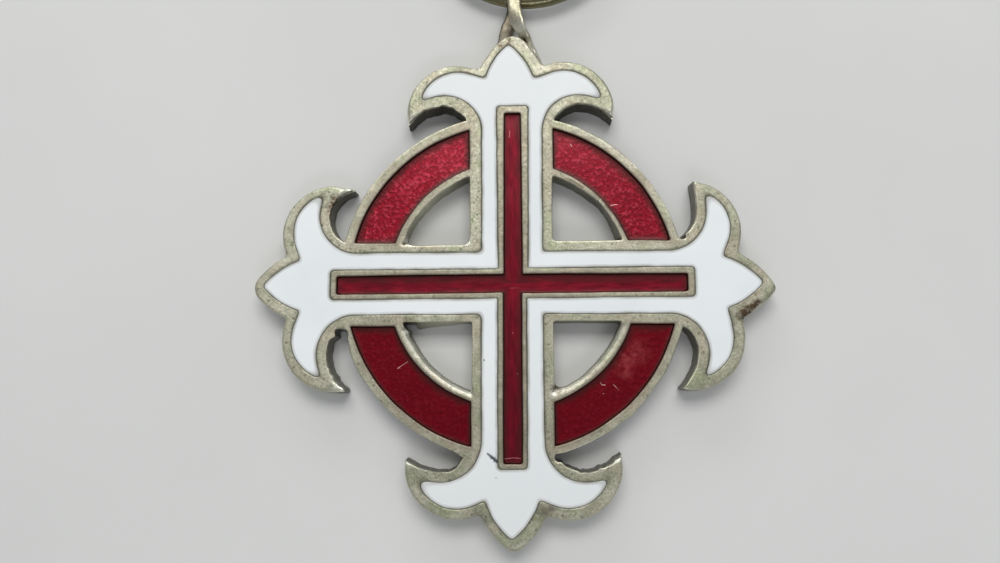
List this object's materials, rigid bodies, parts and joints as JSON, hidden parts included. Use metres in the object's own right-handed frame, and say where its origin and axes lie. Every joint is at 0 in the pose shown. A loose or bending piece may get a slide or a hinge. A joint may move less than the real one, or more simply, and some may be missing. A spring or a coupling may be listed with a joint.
{
  "type": "merit medal",
  "caption": "Enamelled cross fleury medal, white with a narrow red inner cross, on a pierced ring with red enamel, with a strap eye and a round-wire ribbon ring.",
  "frame": {"origin": "centre of the cross, on the flat back face that the medal lies on", "axes": "+Z out of the enamelled front, +Y from the cross's centre to the eye and the ribbon ring, +X to the right as seen from the front"},
  "size_m": [0.0419, 0.0619, 0.0026],
  "materials": {
    "metal": "pale silver alloy, dulled, fine grained, tarnished in patches, worn bright on edges",
    "white_enamel": "opaque gloss enamel, flush with the rims",
    "red_enamel": "translucent dark red gloss enamel in a sunk cell",
    "ring_enamel": "translucent red gloss enamel over a grained ground"
  },
  "bodies": {
    "root": {"metal_frame": "metal", "white_enamel": "white_enamel", "red_cross_enamel": "red_enamel", "red_arc_upper_right": "ring_enamel", "red_arc_upper_left": "ring_enamel", "red_arc_lower_left": "ring_enamel", "red_arc_lower_right": "ring_enamel", "ribbon_ring": "metal"}
  },
  "joints": []
}
